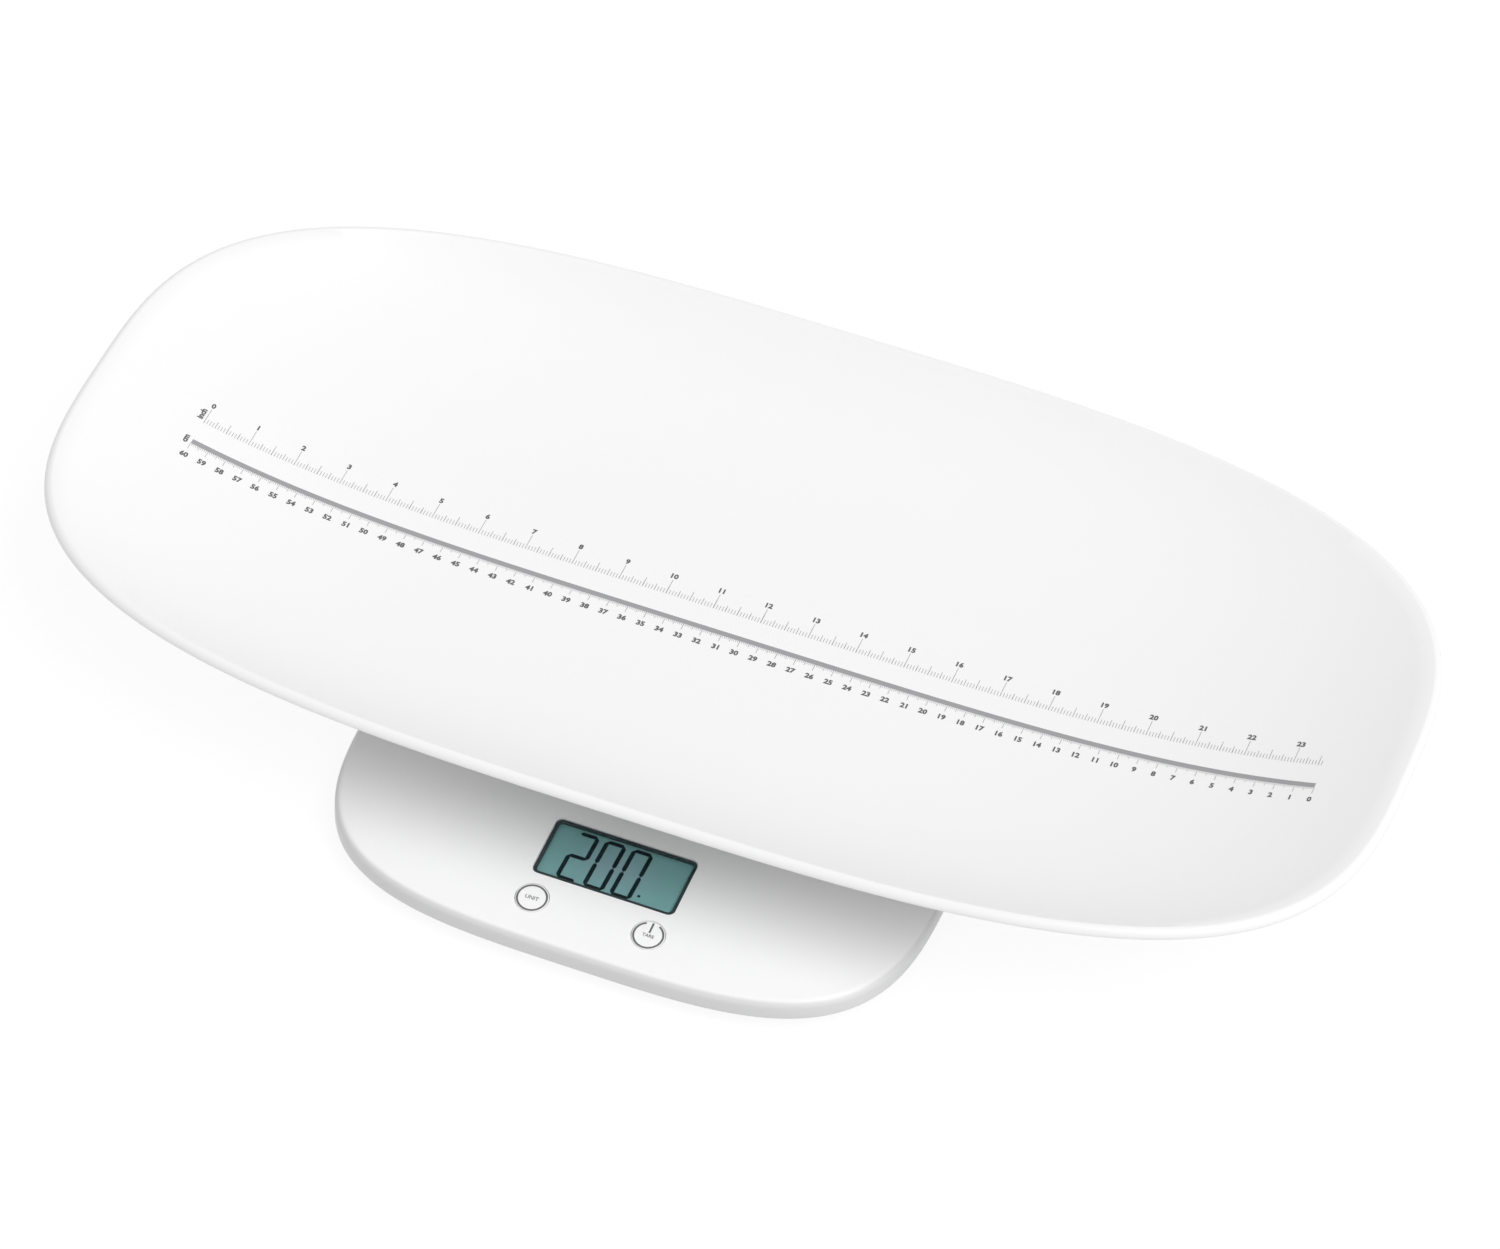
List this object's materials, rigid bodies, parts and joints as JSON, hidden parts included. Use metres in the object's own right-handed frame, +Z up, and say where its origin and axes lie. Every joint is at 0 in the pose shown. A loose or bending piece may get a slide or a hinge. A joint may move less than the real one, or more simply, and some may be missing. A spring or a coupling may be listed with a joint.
{
  "type": "digital baby weighing scale",
  "caption": "Long dished weighing tray with a rolled rim on a low domed base, with a display window, push buttons, load-cell feet and a battery door.",
  "frame": {"origin": "on the floor, under the middle of the whole outline", "axes": "+X along the tray, with the display and buttons facing -Y, +Z up"},
  "size_m": [0.7, 0.3974, 0.087],
  "materials": {
    "tray_plastic": "satin white moulded plastic",
    "base_plastic": "satin white moulded plastic",
    "inner_plastic": "plain off-white moulded plastic",
    "foot_plastic": "pale grey moulded plastic",
    "rubber": "matt grey rubber",
    "silicone": "soft translucent-looking grey silicone",
    "window": "clear polished window",
    "display": "teal reflective liquid crystal",
    "steel": "bright zinc-plated steel",
    "cell_steel": "plain steel plate",
    "board": "green solder mask",
    "black_plastic": "black moulded plastic",
    "switch_plastic": "brown moulded plastic",
    "zebra_rubber": "pink and black striped elastomer",
    "battery_wrap": "plain dark sleeve, no print",
    "grey_wire": "grey insulation",
    "red_wire": "red insulation",
    "black_wire": "black insulation"
  },
  "bodies": {
    "base": {"tray_seat_pad_front_left": "silicone", "tray_seat_pad_front_right": "silicone", "tray_seat_pad_rear_left": "silicone", "tray_seat_pad_rear_right": "silicone", "base_top_cover": "base_plastic", "base_bottom_cover": "base_plastic", "foot_front_left": "foot_plastic", "foot_front_right": "foot_plastic", "foot_rear_left": "foot_plastic", "foot_rear_right": "foot_plastic", "foot_pad_front_left": "rubber", "foot_pad_front_right": "rubber", "foot_pad_rear_left": "rubber", "foot_pad_rear_right": "rubber", "load_cell_front_left": "cell_steel", "load_cell_front_right": "cell_steel", "load_cell_rear_left": "cell_steel", "load_cell_rear_right": "cell_steel", "load_cell_bracket_front_left": "inner_plastic", "load_cell_bracket_front_right": "inner_plastic", "load_cell_bracket_rear_left": "inner_plastic", "load_cell_bracket_rear_right": "inner_plastic", "housing_screw_1": "steel", "housing_screw_2": "steel", "housing_screw_3": "steel", "housing_screw_4": "steel", "housing_screw_5": "steel", "housing_screw_6": "steel", "pcb_screw_1": "steel", "pcb_screw_2": "steel", "lcd_window_lens": "window", "lcd_glass": "display", "lcd_frame": "inner_plastic", "zebra_connector": "zebra_rubber", "main_pcb": "board", "controller_chip": "black_plastic", "unit_switch_body": "black_plastic", "power_switch_body": "black_plastic", "battery_1": "battery_wrap", "battery_spring_1": "steel", "battery_2": "battery_wrap", "battery_spring_2": "steel", "battery_3": "battery_wrap", "battery_spring_3": "steel", "battery_contact_end_left": "steel", "battery_contact_end_right": "steel", "battery_contact_bridge_left": "steel", "battery_contact_bridge_right": "steel", "sensor_lead_front_left": "grey_wire", "sensor_lead_front_right": "grey_wire", "sensor_lead_rear_left": "grey_wire", "sensor_lead_rear_right": "grey_wire", "battery_lead_positive": "red_wire", "battery_lead_negative": "black_wire"},
    "tray": {"tray_shell": "tray_plastic"},
    "unit_button": {"unit_button_cap": "base_plastic", "unit_switch_plunger": "switch_plastic"},
    "power_button": {"power_button_cap": "base_plastic", "power_switch_plunger": "switch_plastic"},
    "door": {"battery_door": "base_plastic"}
  },
  "joints": [
    {"name": "tray_lift", "type": "slide", "parent": "base", "child": "tray", "axis": [0, 0, 1], "range_m": [0, 0.08]},
    {"name": "unit_button_press", "type": "slide", "parent": "base", "child": "unit_button", "axis": [0, 0.0556, -0.9985], "range_m": [0, 0.0005], "stiffness_N_per_m": 2000, "springref_m": -0.0002},
    {"name": "power_button_press", "type": "slide", "parent": "base", "child": "power_button", "axis": [0, 0.0556, -0.9985], "range_m": [0, 0.0005], "stiffness_N_per_m": 2000, "springref_m": -0.0002},
    {"name": "battery_door_swing", "type": "hinge", "parent": "base", "child": "door", "pos_m": [0, -0.02455, 0.008], "axis": [1, 0, 0], "range_deg": [0, 75]}
  ]
}
